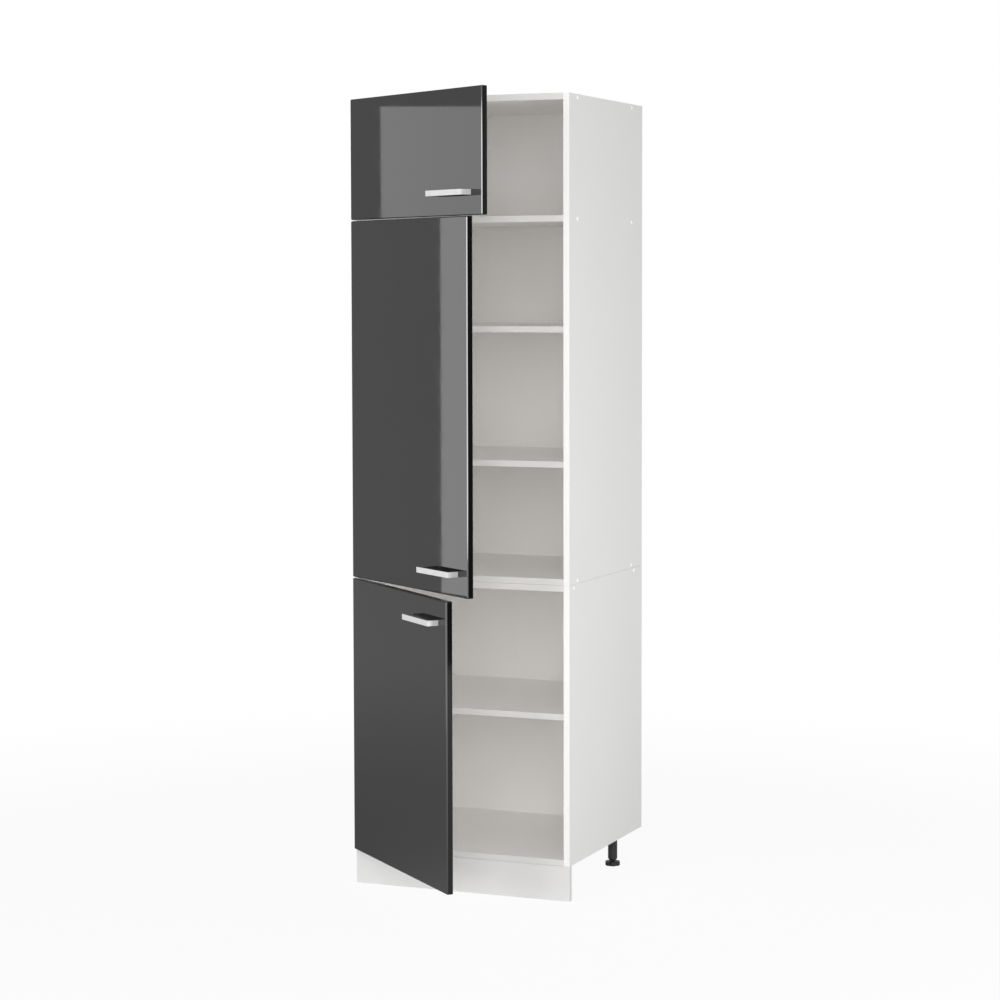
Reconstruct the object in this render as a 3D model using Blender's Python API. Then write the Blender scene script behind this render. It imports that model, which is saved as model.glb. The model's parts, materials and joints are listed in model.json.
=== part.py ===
# Tall cabinet: two stacked white carcasses with three gloss doors hinged on the left,
# on a plinth and four levelling feet.
# Units are metres, +Z is up and the front faces -Y.
# The origin is the centre of the plinth board's underside, on the floor.
# The doors stand ajar, each at its own rest angle about a fixed upright axis at its outer front corner.

import math

import bmesh
import bpy
from mathutils import Matrix, Vector

# Carcass
WIDTH = 0.600
DEPTH = 0.550
BOARD = 0.016
LOWER_HEIGHT = 0.720
UPPER_HEIGHT = 1.240
PLINTH_HEIGHT = 0.090
BACK_THICKNESS = 0.003
BACK_INSET = 0.007
GROOVE_DEPTH = 0.008
GROOVE_CLEARANCE = 0.0003
BOARD_ARRIS = 0.0006

# Places of the loose shelves, measured up from the underside of their own carcass to the shelf's top
UPPER_SHELF_HIGH_TOP = 0.656
UPPER_SHELF_LOW_TOP = 0.314
LOWER_SHELF_TOP = 0.390
SHELF_FRONT_RECESS = 0.005
SHELF_SIDE_CLEARANCE = 0.0008
SHELF_BACK_CLEARANCE = 0.002

# Shelf pins
PIN_RADIUS = 0.0025
PIN_IN_WALL = 0.008
PIN_OUT = 0.0075
PIN_FRONT_INSET = 0.037
PIN_REAR_INSET = 0.090

# Doors
DOOR_THICKNESS = 0.016
DOOR_REVEAL = 0.0015
DOOR_BOTTOM_REVEAL = 0.0035
DOOR_TO_CARCASS = 0.002
TOP_DOOR_HEIGHT = 0.310
DOOR_FRONT_RADIUS = 0.003
DOOR_REAR_ARRIS = 0.0005
TOP_DOOR_OPEN_DEG = 32.5
MIDDLE_DOOR_OPEN_DEG = 36.7
LOWER_DOOR_OPEN_DEG = 42.3

# Handles
HANDLE_LENGTH = 0.156
HANDLE_HEIGHT = 0.014
HANDLE_STANDOFF = 0.030
HANDLE_BAR_THICKNESS = 0.004
HANDLE_LEG_THICKNESS = 0.005
HANDLE_CORNER = 0.0015
HANDLE_ARRIS = 0.0004
HANDLE_END_INSET = 0.045
HANDLE_EDGE_INSET = 0.056

# Hinges, in a door's own frame: s runs from its hinge edge, t from its front face to its back
HINGE_TOP_DOOR_INSET = 0.065
HINGE_MIDDLE_DOOR_INSET = 0.100
HINGE_LOWER_DOOR_INSET = 0.095
CUP_EDGE_DISTANCE = 0.0225
CUP_RADIUS = 0.0175
CUP_DEPTH = 0.012
CUP_WALL = 0.001
CUP_WING_HEIGHT = 0.052
CUP_WING_WIDTH = 0.021
CUP_WING_THICKNESS = 0.0012
CUP_NOTCH_DEPTH = 0.0025
CUP_PIN_RADIUS = 0.0014
CUP_PIN_S = 0.024
STRAP_LENGTH = 0.052
STRAP_THICKNESS = 0.0016
STRAP_EYE_WALL = 0.00125
STRAP_HOLE_CLEARANCE = 0.00015
STRAP_CLOSED_DEG = 96.0
STRAP_TURN_SHARE = 0.20
ARM_FRONT_SETBACK = 0.002
ARM_LENGTH = 0.064
ARM_OUTER_HEIGHT = 0.0155
ARM_STAND = 0.0197
ARM_WALL = 0.0012
ARM_PLATE_THICKNESS = 0.0022
ARM_PLATE_HEIGHT = 0.048
ARM_PLATE_LENGTH = 0.038
ARM_PLATE_SETBACK = 0.018

# Legs and feet
LEG_SIDE_INSET = 0.047
LEG_FRONT_SETBACK = 0.070
LEG_REAR_SETBACK = 0.101
LEG_FLANGE_RADIUS = 0.029
LEG_FLANGE_THICKNESS = 0.004
LEG_SHOULDER_HEIGHT = 0.008
LEG_SHOULDER_RADIUS = 0.017
LEG_TUBE_RADIUS = 0.0125
LEG_TUBE_LOWER_END = 0.0225
LEG_BORE_TOP = 0.068
FOOT_PAD_RADIUS = 0.020
FOOT_PAD_HEIGHT = 0.011
FOOT_CONE_HEIGHT = 0.0165
FOOT_COLLAR_HEIGHT = 0.0180
FOOT_ARRIS = 0.0008
FOOT_SPINDLE_RADIUS = 0.0088
FOOT_SPINDLE_TOP = 0.058

# Plinth
PLINTH_THICKNESS = 0.016
CLIP_PLATE_WIDTH = 0.036
CLIP_PLATE_HEIGHT = 0.040
CLIP_PLATE_THICKNESS = 0.003
CLIP_NECK_WIDTH = 0.012
CLIP_HEIGHT = 0.018
CLIP_CENTRE_HEIGHT = 0.050
CLIP_RING_WALL = 0.003
CLIP_MOUTH_DEG = 100.0

# Clearances between pieces that touch, the overrun of a cut, and how far joined shapes run into each other
GAP = 0.0003
OVERRUN = 0.002
ROOT_IN = 0.0005

# Facets
ROUND_SIDES = 20
SMALL_SIDES = 12
CORNER_STEPS = 3
SHARP_ANGLE = math.radians(35)

front_y = -PLINTH_THICKNESS / 2
back_y = front_y + DEPTH
inner_x = WIDTH / 2 - BOARD
lower_z = PLINTH_HEIGHT
upper_z = lower_z + LOWER_HEIGHT
top_z = upper_z + UPPER_HEIGHT
back_panel_y = back_y - BACK_INSET - BACK_THICKNESS
board_back_y = back_panel_y - GAP
door_width = WIDTH - 2 * DOOR_REVEAL
door_front_y = front_y - DOOR_TO_CARCASS - DOOR_THICKNESS
hinge_x = -WIDTH / 2 + DOOR_REVEAL
top_door_low = top_z - DOOR_REVEAL - TOP_DOOR_HEIGHT
strap_height = ARM_OUTER_HEIGHT - 2 * (ARM_WALL + GAP)


def clear_scene():
    for old in list(bpy.data.objects):
        bpy.data.objects.remove(old)


def make_material(name, colour, roughness, metallic=0.0):
    made = bpy.data.materials.new(name)
    made.use_nodes = True
    shader = made.node_tree.nodes["Principled BSDF"]
    shader.inputs["Base Color"].default_value = (*colour, 1.0)
    shader.inputs["Roughness"].default_value = roughness
    shader.inputs["Metallic"].default_value = metallic
    return made


def put_in_scene(name, bm, material, parent=None, smooth=False):
    bmesh.ops.recalc_face_normals(bm, faces=bm.faces)
    mesh = bpy.data.meshes.new(name)
    bm.to_mesh(mesh)
    bm.free()
    if smooth:
        mesh.shade_smooth()
        mesh.set_sharp_from_angle(angle=SHARP_ANGLE)
    made = bpy.data.objects.new(name, mesh)
    bpy.context.scene.collection.objects.link(made)
    if material is not None:
        mesh.materials.append(material)
    made.parent = parent
    return made


def box_shape(low, high, arris=0.0):
    # A rectangular block between two corners, its edges eased by arris.
    bm = bmesh.new()
    bmesh.ops.create_cube(bm, size=1)
    low, high = Vector(low), Vector(high)
    bmesh.ops.scale(bm, vec=high - low, verts=bm.verts)
    bmesh.ops.translate(bm, vec=(low + high) / 2, verts=bm.verts)
    if arris:
        bmesh.ops.bevel(bm, geom=bm.edges[:], offset=arris, segments=1, affect="EDGES")
    return bm


def outline_shape(points, low_z, high_z):
    # A flat outline in X and Y, given counter-clockwise, drawn up from low_z to high_z.
    bm = bmesh.new()
    base = bm.faces.new([bm.verts.new((x, y, low_z)) for x, y in points])
    grown = bmesh.ops.extrude_face_region(bm, geom=[base])
    raised = [v for v in grown["geom"] if isinstance(v, bmesh.types.BMVert)]
    bmesh.ops.translate(bm, vec=(0, 0, high_z - low_z), verts=raised)
    return bm


def turned_shape(profile, centre, sides=ROUND_SIDES):
    # A profile of radius and height, from the axis at one end round to the axis at the other, spun about Z.
    bm = bmesh.new()
    x, y = centre
    points = [bm.verts.new((x + radius, y, z)) for radius, z in profile]
    edges = [bm.edges.new(pair) for pair in zip(points, points[1:])]
    bmesh.ops.spin(bm, geom=points + edges, cent=(x, y, 0), axis=(0, 0, 1),
                   angle=2 * math.pi, steps=sides, use_merge=True)
    bmesh.ops.remove_doubles(bm, verts=bm.verts, dist=GAP / 10)
    return bm


def rod_shape(radius, start, end, sides=SMALL_SIDES):
    # A round bar from start to end.
    bm = bmesh.new()
    start, end = Vector(start), Vector(end)
    along = end - start
    turn = along.to_track_quat("Z", "Y").to_matrix().to_4x4()
    bmesh.ops.create_cone(bm, cap_ends=True, segments=sides, radius1=radius, radius2=radius,
                          depth=along.length, matrix=Matrix.Translation((start + end) / 2) @ turn)
    return bm


def use_tool(target, bm, operation, parent=None):
    # Joins a shape to the target or cuts it out, with the shape kept as a hidden guide.
    tool = put_in_scene(f"{target.name}_tool", bm, None, parent)
    tool.hide_render = True
    tool.display_type = "WIRE"
    step = target.modifiers.new(operation.title(), "BOOLEAN")
    step.operation = operation
    step.solver = "EXACT"
    step.object = tool


def arc(centre, radius, start_deg, end_deg, steps):
    turns = [math.radians(start_deg + (end_deg - start_deg) * i / steps) for i in range(steps + 1)]
    return [(centre[0] + radius * math.cos(a), centre[1] + radius * math.sin(a)) for a in turns]


def side_panel(name, side, low_z, high_z):
    # An upright side board with the groove that holds the back panel; side is -1 left, +1 right.
    inner = side * inner_x
    outer = side * WIDTH / 2
    low = (min(inner, outer), front_y, low_z)
    high = (max(inner, outer), back_y, high_z)
    panel = put_in_scene(name, box_shape(low, high, BOARD_ARRIS), white_board)
    groove_deep = side * (inner_x + GROOVE_DEPTH)
    groove_open = side * (inner_x - OVERRUN)
    use_tool(panel, box_shape(
        (min(groove_deep, groove_open), back_panel_y - GROOVE_CLEARANCE, low_z - OVERRUN),
        (max(groove_deep, groove_open), back_y - BACK_INSET + GROOVE_CLEARANCE, high_z + OVERRUN)),
        "DIFFERENCE")
    return panel


def fixed_board(name, low_z):
    # A board held between the two sides, in front of the back panel.
    reach = inner_x - GAP
    return put_in_scene(name, box_shape((-reach, front_y, low_z), (reach, board_back_y, low_z + BOARD),
                                        BOARD_ARRIS), white_board)


def back_panel(name, low_z, high_z):
    reach = inner_x + GROOVE_DEPTH - GROOVE_CLEARANCE
    return put_in_scene(name, box_shape((-reach, back_panel_y, low_z + GAP),
                                        (reach, back_panel_y + BACK_THICKNESS, high_z - GAP)), back_board)


def loose_shelf(name, shelf_top, panels):
    # A shelf that lies on four pins, which stand in holes of the two sides.
    reach = inner_x - SHELF_SIDE_CLEARANCE
    shelf_low = shelf_top - BOARD
    put_in_scene(name, box_shape((-reach, front_y + SHELF_FRONT_RECESS, shelf_low),
                                 (reach, board_back_y - SHELF_BACK_CLEARANCE, shelf_top),
                                 BOARD_ARRIS), white_board)
    pin_z = shelf_low - GAP - PIN_RADIUS
    for side, side_name in ((-1, "left"), (1, "right")):
        for pin_y, place in ((front_y + PIN_FRONT_INSET, "front"), (back_y - PIN_REAR_INSET, "rear")):
            wall = side * inner_x
            hole_end = wall + side * (PIN_IN_WALL + GAP)
            use_tool(panels[side], rod_shape(PIN_RADIUS + GAP, (wall - side * OVERRUN, pin_y, pin_z),
                                             (hole_end, pin_y, pin_z)), "DIFFERENCE")
            put_in_scene(f"{name}_pin_{side_name}_{place}",
                         rod_shape(PIN_RADIUS, (wall - side * PIN_OUT, pin_y, pin_z),
                                   (wall + side * PIN_IN_WALL, pin_y, pin_z)), steel, smooth=True)


def build_lower_carcass():
    panels = {side: side_panel(f"lower_side_{label}", side, lower_z, upper_z - GAP)
              for side, label in ((-1, "left"), (1, "right"))}
    fixed_board("lower_floor_board", lower_z)
    fixed_board("lower_top_board", upper_z - GAP - BOARD)
    back_panel("lower_back_panel", lower_z, upper_z - GAP)
    loose_shelf("lower_shelf", lower_z + LOWER_SHELF_TOP, panels)


def build_upper_carcass():
    # The fixed shelf lies behind the gap between the top and middle doors.
    panels = {side: side_panel(f"upper_side_{label}", side, upper_z, top_z)
              for side, label in ((-1, "left"), (1, "right"))}
    fixed_board("upper_floor_board", upper_z)
    fixed_board("upper_top_board", top_z - BOARD)
    fixed_board("upper_fixed_shelf", top_door_low - DOOR_REVEAL - BOARD / 2)
    back_panel("upper_back_panel", upper_z, top_z)
    loose_shelf("upper_shelf_low", upper_z + UPPER_SHELF_LOW_TOP, panels)
    loose_shelf("upper_shelf_high", upper_z + UPPER_SHELF_HIGH_TOP, panels)


def door_slab(name, low_z, high_z, pivot):
    # The slab is drawn closed, in the frame of its pivot at the outer front corner, so s is X and t is Y.
    bm = box_shape((0, 0, low_z), (door_width, DOOR_THICKNESS, high_z))
    middle = DOOR_THICKNESS / 2
    rear = [e for e in bm.edges if all(v.co.y > middle for v in e.verts)]
    others = [e for e in bm.edges if e not in rear]
    bmesh.ops.bevel(bm, geom=others, offset=DOOR_FRONT_RADIUS, segments=CORNER_STEPS, profile=0.5,
                    affect="EDGES")
    rear = [e for e in bm.edges if all(v.co.y > DOOR_THICKNESS - GAP / 10 for v in e.verts)]
    bmesh.ops.bevel(bm, geom=rear, offset=DOOR_REAR_ARRIS, segments=1, affect="EDGES")
    return put_in_scene(name, bm, gloss_front, pivot, smooth=True)


def handle(name, centre_z, pivot):
    # A flat bar bent back at both ends; its legs stop just short of the door's face.
    right = door_width - HANDLE_END_INSET
    left = right - HANDLE_LENGTH
    face = -HANDLE_STANDOFF
    corner = HANDLE_CORNER
    outer = [(left, -GAP)]
    outer += arc((left + corner, face + corner), corner, 180, 270, CORNER_STEPS)
    outer += arc((right - corner, face + corner), corner, 270, 360, CORNER_STEPS)
    outer += [(right, -GAP), (right - HANDLE_LEG_THICKNESS, -GAP)]
    inner_face = face + HANDLE_BAR_THICKNESS
    outer += [(right - HANDLE_LEG_THICKNESS, inner_face), (left + HANDLE_LEG_THICKNESS, inner_face)]
    outer += [(left + HANDLE_LEG_THICKNESS, -GAP)]
    bm = outline_shape(outer, centre_z - HANDLE_HEIGHT / 2, centre_z + HANDLE_HEIGHT / 2)
    flat = [e for e in bm.edges if abs(e.verts[0].co.z - e.verts[1].co.z) < GAP]
    bmesh.ops.bevel(bm, geom=flat, offset=HANDLE_ARRIS, segments=1, affect="EDGES")
    put_in_scene(name, bm, chrome, pivot, smooth=True)


def hinge_cup(name, z, pivot, door):
    # The steel cup in its bore, with wings on the door's back.
    # The strap turns on the cup's pin, whose centre is level with that back.
    rear = DOOR_THICKNESS
    centre = Vector((CUP_EDGE_DISTANCE, 0, z))
    bore_floor = rear - CUP_DEPTH
    outer = CUP_RADIUS - GAP
    rim = rear + GAP + CUP_WING_THICKNESS

    def at(t):
        return centre + Vector((0, t, 0))

    use_tool(door, rod_shape(CUP_RADIUS, at(bore_floor), at(rear + OVERRUN), ROUND_SIDES),
             "DIFFERENCE", pivot)
    cup = put_in_scene(name, rod_shape(outer, at(bore_floor + GAP), at(rim), ROUND_SIDES),
                       steel, pivot, smooth=True)
    wing = Vector((CUP_WING_WIDTH / 2, 0, CUP_WING_HEIGHT / 2))
    use_tool(cup, box_shape(at(rear + GAP) - wing, at(rim) + wing), "UNION", pivot)
    cup_floor = bore_floor + GAP + CUP_WALL
    use_tool(cup, rod_shape(outer - CUP_WALL, at(cup_floor), at(rim + OVERRUN), ROUND_SIDES),
             "DIFFERENCE", pivot)
    notch = strap_height / 2 + CUP_WALL
    use_tool(cup, box_shape((-OVERRUN, rim - CUP_NOTCH_DEPTH, z - notch),
                            (CUP_EDGE_DISTANCE, rim + OVERRUN, z + notch)), "DIFFERENCE", pivot)
    half_chord = math.sqrt((outer - CUP_WALL / 2) ** 2 - (CUP_PIN_S - CUP_EDGE_DISTANCE) ** 2)
    use_tool(cup, rod_shape(CUP_PIN_RADIUS, (CUP_PIN_S, rear, z - half_chord),
                            (CUP_PIN_S, rear, z + half_chord)), "UNION", pivot)


def hinge_strap(name, z, strap_pivot):
    # A flat link with an eye on the cup's pin; its tail slides between the arm's walls.
    # It is drawn along X from the pin.
    hole = CUP_PIN_RADIUS + STRAP_HOLE_CLEARANCE
    eye = hole + STRAP_EYE_WALL
    half = STRAP_THICKNESS / 2
    meet = math.degrees(math.asin(half / eye))
    outline = arc((0, 0), eye, meet, 360 - meet, SMALL_SIDES)
    outline += [(STRAP_LENGTH, -half), (STRAP_LENGTH, half)]
    low, high = z - strap_height / 2, z + strap_height / 2
    strap = put_in_scene(name, outline_shape(outline, low, high), steel, strap_pivot, smooth=True)
    use_tool(strap, rod_shape(hole, (0, 0, low - OVERRUN), (0, 0, high + OVERRUN)),
             "DIFFERENCE", strap_pivot)


def hinge_arm(name, z):
    # The mounting plate on the left side with the open arm over it.
    wall = -inner_x + GAP
    cover = -inner_x + ARM_STAND
    start = front_y + ARM_FRONT_SETBACK
    half = ARM_OUTER_HEIGHT / 2
    plate_face = wall + ARM_PLATE_THICKNESS
    plate_start = front_y + ARM_PLATE_SETBACK
    arm = put_in_scene(name, box_shape((plate_face - ROOT_IN, start, z - half),
                                       (cover, start + ARM_LENGTH, z + half)), steel)
    inside = half - ARM_WALL
    use_tool(arm, box_shape((wall - OVERRUN, start - OVERRUN, z - inside),
                            (cover - ARM_WALL, start + ARM_LENGTH + OVERRUN, z + inside)), "DIFFERENCE")
    plate_end = plate_start + ARM_PLATE_LENGTH
    use_tool(arm, box_shape((wall, plate_start, z - ARM_PLATE_HEIGHT / 2),
                            (plate_face, plate_end, z + ARM_PLATE_HEIGHT / 2)), "UNION")


def build_door(label, low_z, high_z, open_deg, hinge_inset, handle_z):
    # The pivot empty lies on the door's axis.
    # The strap's pivot lies on the cup's pins, and turns back as the door opens.
    pivot = bpy.data.objects.new(f"{label}_axis", None)
    pivot.location = (hinge_x, door_front_y, 0)
    pivot.rotation_euler = (0, 0, -math.radians(open_deg))
    strap_pivot = bpy.data.objects.new(f"{label}_strap_axis", None)
    strap_pivot.parent = pivot
    strap_pivot.location = (CUP_PIN_S, DOOR_THICKNESS, 0)
    strap_pivot.rotation_euler = (0, 0, math.radians(STRAP_CLOSED_DEG + open_deg * (1 - STRAP_TURN_SHARE)))
    for empty in (pivot, strap_pivot):
        bpy.context.scene.collection.objects.link(empty)
    door = door_slab(label, low_z, high_z, pivot)
    handle(f"{label}_handle", handle_z, pivot)
    for place, z in (("lower", low_z + hinge_inset), ("upper", high_z - hinge_inset)):
        hinge_cup(f"{label}_hinge_cup_{place}", z, pivot, door)
        hinge_strap(f"{label}_hinge_strap_{place}", z, strap_pivot)
        hinge_arm(f"{label}_hinge_arm_{place}", z)


def build_doors():
    lower_low = lower_z + DOOR_BOTTOM_REVEAL
    lower_high = upper_z - DOOR_REVEAL
    middle_low = upper_z + DOOR_REVEAL
    middle_high = top_door_low - 2 * DOOR_REVEAL
    build_door("lower_door", lower_low, lower_high, LOWER_DOOR_OPEN_DEG, HINGE_LOWER_DOOR_INSET,
               lower_high - HANDLE_EDGE_INSET)
    build_door("middle_door", middle_low, middle_high, MIDDLE_DOOR_OPEN_DEG, HINGE_MIDDLE_DOOR_INSET,
               middle_low + HANDLE_EDGE_INSET)
    build_door("top_door", top_door_low, top_z - DOOR_REVEAL, TOP_DOOR_OPEN_DEG, HINGE_TOP_DOOR_INSET,
               top_door_low + HANDLE_EDGE_INSET)


def leg(place, x, y):
    # A plastic housing screwed under the floor board, and the foot whose spindle turns up into it.
    under = lower_z - GAP
    shoulder = under - LEG_FLANGE_THICKNESS
    bore = FOOT_SPINDLE_RADIUS + GAP
    put_in_scene(f"leg_housing_{place}", turned_shape([
        (0, under), (LEG_FLANGE_RADIUS, under), (LEG_FLANGE_RADIUS, shoulder),
        (LEG_SHOULDER_RADIUS, shoulder),
        (LEG_TUBE_RADIUS, shoulder - LEG_SHOULDER_HEIGHT), (LEG_TUBE_RADIUS, LEG_TUBE_LOWER_END),
        (bore, LEG_TUBE_LOWER_END), (bore, LEG_BORE_TOP), (0, LEG_BORE_TOP)], (x, y)),
        black_plastic, smooth=True)
    put_in_scene(f"leg_foot_{place}", turned_shape([
        (0, 0), (FOOT_PAD_RADIUS - FOOT_ARRIS, 0), (FOOT_PAD_RADIUS, FOOT_ARRIS),
        (FOOT_PAD_RADIUS, FOOT_PAD_HEIGHT),
        (LEG_TUBE_RADIUS, FOOT_CONE_HEIGHT), (LEG_TUBE_RADIUS, FOOT_COLLAR_HEIGHT),
        (FOOT_SPINDLE_RADIUS, FOOT_COLLAR_HEIGHT), (FOOT_SPINDLE_RADIUS, FOOT_SPINDLE_TOP - FOOT_ARRIS),
        (FOOT_SPINDLE_RADIUS - FOOT_ARRIS, FOOT_SPINDLE_TOP), (0, FOOT_SPINDLE_TOP)], (x, y)),
        black_plastic, smooth=True)


def build_legs():
    leg_x = WIDTH / 2 - LEG_SIDE_INSET
    for depth_name, y in (("front", front_y + LEG_FRONT_SETBACK), ("rear", back_y - LEG_REAR_SETBACK)):
        for side_name, x in (("left", -leg_x), ("right", leg_x)):
            leg(f"{depth_name}_{side_name}", x, y)


def clip_ring(x, y, low_z, high_z):
    # An open ring round a leg's tube, its mouth towards the back.
    inner = LEG_TUBE_RADIUS + GAP
    outer = inner + CLIP_RING_WALL
    start = 90 + CLIP_MOUTH_DEG / 2
    end = 450 - CLIP_MOUTH_DEG / 2
    ring = arc((x, y), outer, start, end, ROUND_SIDES) + arc((x, y), inner, end, start, ROUND_SIDES)
    return outline_shape(ring, low_z, high_z)


def build_plinth():
    # The plinth board with its two leg clips, which slide on its back and grip the front legs.
    rear = PLINTH_THICKNESS / 2
    plinth = put_in_scene("plinth_board", box_shape(
        (-WIDTH / 2, -rear, 0), (WIDTH / 2, rear, lower_z - GAP), BOARD_ARRIS), white_board)
    leg_x = WIDTH / 2 - LEG_SIDE_INSET
    leg_y = front_y + LEG_FRONT_SETBACK
    low, high = CLIP_CENTRE_HEIGHT - CLIP_HEIGHT / 2, CLIP_CENTRE_HEIGHT + CLIP_HEIGHT / 2
    ring_front = leg_y - LEG_TUBE_RADIUS - GAP - CLIP_RING_WALL / 2
    plate_x, plate_z = CLIP_PLATE_WIDTH / 2, CLIP_PLATE_HEIGHT / 2
    plate_rear = rear + CLIP_PLATE_THICKNESS
    for x in (-leg_x, leg_x):
        use_tool(plinth, box_shape((x - plate_x, rear - ROOT_IN, CLIP_CENTRE_HEIGHT - plate_z),
                                   (x + plate_x, plate_rear, CLIP_CENTRE_HEIGHT + plate_z)), "UNION")
        use_tool(plinth, box_shape((x - CLIP_NECK_WIDTH / 2, rear, low),
                                   (x + CLIP_NECK_WIDTH / 2, ring_front, high)), "UNION")
        use_tool(plinth, clip_ring(x, leg_y, low - ROOT_IN, high + ROOT_IN), "UNION")


clear_scene()
white_board = make_material("white_board", (0.80, 0.80, 0.79), 0.45)
back_board = make_material("back_board", (0.78, 0.76, 0.74), 0.55)
gloss_front = make_material("gloss_front", (0.055, 0.056, 0.058), 0.06)
chrome = make_material("chrome", (0.78, 0.78, 0.79), 0.18, 1.0)
steel = make_material("steel", (0.62, 0.61, 0.59), 0.30, 1.0)
black_plastic = make_material("black_plastic", (0.02, 0.02, 0.021), 0.40)
build_lower_carcass()
build_upper_carcass()
build_doors()
build_legs()
build_plinth()
bpy.context.view_layer.update()
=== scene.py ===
import json
import math
import bmesh
import bpy
from mathutils import Matrix, Vector

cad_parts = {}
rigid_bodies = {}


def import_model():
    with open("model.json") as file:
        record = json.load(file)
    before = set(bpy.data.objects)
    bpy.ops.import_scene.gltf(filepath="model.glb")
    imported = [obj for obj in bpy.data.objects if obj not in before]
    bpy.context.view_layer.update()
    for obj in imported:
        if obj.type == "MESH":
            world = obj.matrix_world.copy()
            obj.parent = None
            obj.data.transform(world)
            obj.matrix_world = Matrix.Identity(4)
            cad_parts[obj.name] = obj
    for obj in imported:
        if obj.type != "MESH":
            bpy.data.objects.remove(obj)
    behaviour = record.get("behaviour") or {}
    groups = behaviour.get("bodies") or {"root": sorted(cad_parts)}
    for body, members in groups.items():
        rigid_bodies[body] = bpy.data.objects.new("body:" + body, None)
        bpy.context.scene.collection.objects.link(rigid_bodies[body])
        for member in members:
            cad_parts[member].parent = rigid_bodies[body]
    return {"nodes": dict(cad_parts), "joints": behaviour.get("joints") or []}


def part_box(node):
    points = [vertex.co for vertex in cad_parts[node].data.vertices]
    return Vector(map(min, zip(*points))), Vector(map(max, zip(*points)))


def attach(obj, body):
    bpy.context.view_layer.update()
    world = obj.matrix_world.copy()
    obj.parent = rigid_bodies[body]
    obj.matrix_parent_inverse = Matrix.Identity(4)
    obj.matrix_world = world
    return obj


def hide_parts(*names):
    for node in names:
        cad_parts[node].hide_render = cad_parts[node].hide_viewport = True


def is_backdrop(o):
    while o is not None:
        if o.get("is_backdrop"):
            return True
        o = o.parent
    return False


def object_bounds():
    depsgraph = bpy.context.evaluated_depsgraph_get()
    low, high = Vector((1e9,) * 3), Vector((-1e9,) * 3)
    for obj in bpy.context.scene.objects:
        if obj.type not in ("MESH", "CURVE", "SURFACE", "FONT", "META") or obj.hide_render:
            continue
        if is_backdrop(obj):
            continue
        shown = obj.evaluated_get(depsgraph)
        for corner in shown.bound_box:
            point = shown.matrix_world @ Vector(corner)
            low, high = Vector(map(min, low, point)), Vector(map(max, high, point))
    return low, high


# Tall larder cabinet: white carcasses, gloss anthracite doors ajar, steel bar handles.
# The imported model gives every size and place; this script adds the finishes and the fine parts.

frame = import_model()
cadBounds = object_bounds()
nodes = frame["nodes"]
tiny = 0.00005       # lengths closer than this count as equal
overcut = 0.01       # how far a cutting tool reaches past what it cuts
overlap = 0.0005     # how far two joined shapes reach into each other
towards = 0.9        # a face looks along an axis when its normal has this share of it


# General modelling helpers

def pickNone():
    bpy.ops.object.select_all(action="DESELECT")


def pickOnly(piece):
    pickNone()
    piece.select_set(True)
    bpy.context.view_layer.objects.active = piece


def nameIt(name):
    piece = bpy.context.active_object
    piece.name = piece.data.name = name
    bpy.ops.object.transform_apply(location=True, rotation=True, scale=True)
    return piece


def addBox(name, low, high):
    low, high = Vector(low), Vector(high)
    pickNone()
    bpy.ops.mesh.primitive_cube_add(size=1, location=(low + high) / 2, scale=high - low)
    return nameIt(name)


def addRod(name, start, end, radius, sides):
    start, end = Vector(start), Vector(end)
    along = end - start
    pickNone()
    bpy.ops.mesh.primitive_cylinder_add(vertices=sides, radius=radius, depth=along.length,
                                        location=(start + end) / 2,
                                        rotation=along.to_track_quat("Z", "Y").to_euler())
    return nameIt(name)


def editPick(piece, kind, test):
    # enters edit mode with only the faces or edges that pass the test selected
    pickOnly(piece)
    bpy.ops.object.mode_set(mode="EDIT")
    bpy.ops.mesh.select_mode(type=kind)
    bpy.ops.mesh.select_all(action="DESELECT")
    cage = bmesh.from_edit_mesh(piece.data)
    for item in (cage.faces if kind == "FACE" else cage.edges):
        item.select_set(test(item))
    bmesh.update_edit_mesh(piece.data)


def leaveEdit():
    bpy.ops.object.mode_set(mode="OBJECT")


def runsAlong(axis):
    # a test for edges that run along an axis: 0 is across the cabinet, 1 from front to back
    return lambda edge: abs(edge.verts[0].co[axis] - edge.verts[1].co[axis]) > tiny


def softenEdges(piece, width, steps=2, test=lambda edge: True):
    editPick(piece, "EDGE", test)
    bpy.ops.mesh.bevel(offset=width, segments=steps, profile=0.5, affect="EDGES")
    leaveEdit()


def bevelByAngle(piece, width, steps=2, angle=35):
    pickOnly(piece)
    ease = piece.modifiers.new("ease", "BEVEL")
    ease.width = width
    ease.segments = steps
    ease.limit_method = "ANGLE"
    ease.angle_limit = math.radians(angle)
    bpy.ops.object.modifier_apply(modifier=ease.name)


def combine(piece, tool, operation):
    # joins or cuts with a second piece, which is used up
    pickOnly(piece)
    step = piece.modifiers.new("combine", "BOOLEAN")
    step.operation = operation
    step.solver = "EXACT"
    step.object = tool
    bpy.ops.object.modifier_apply(modifier=step.name)
    bpy.data.objects.remove(tool)


def cut(piece, tool):
    combine(piece, tool, "DIFFERENCE")


def unite(piece, tool):
    combine(piece, tool, "UNION")


def joinAll(pieces):
    pickNone()
    for piece in pieces:
        piece.select_set(True)
    bpy.context.view_layer.objects.active = pieces[0]
    bpy.ops.object.join()
    return pieces[0]


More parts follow.
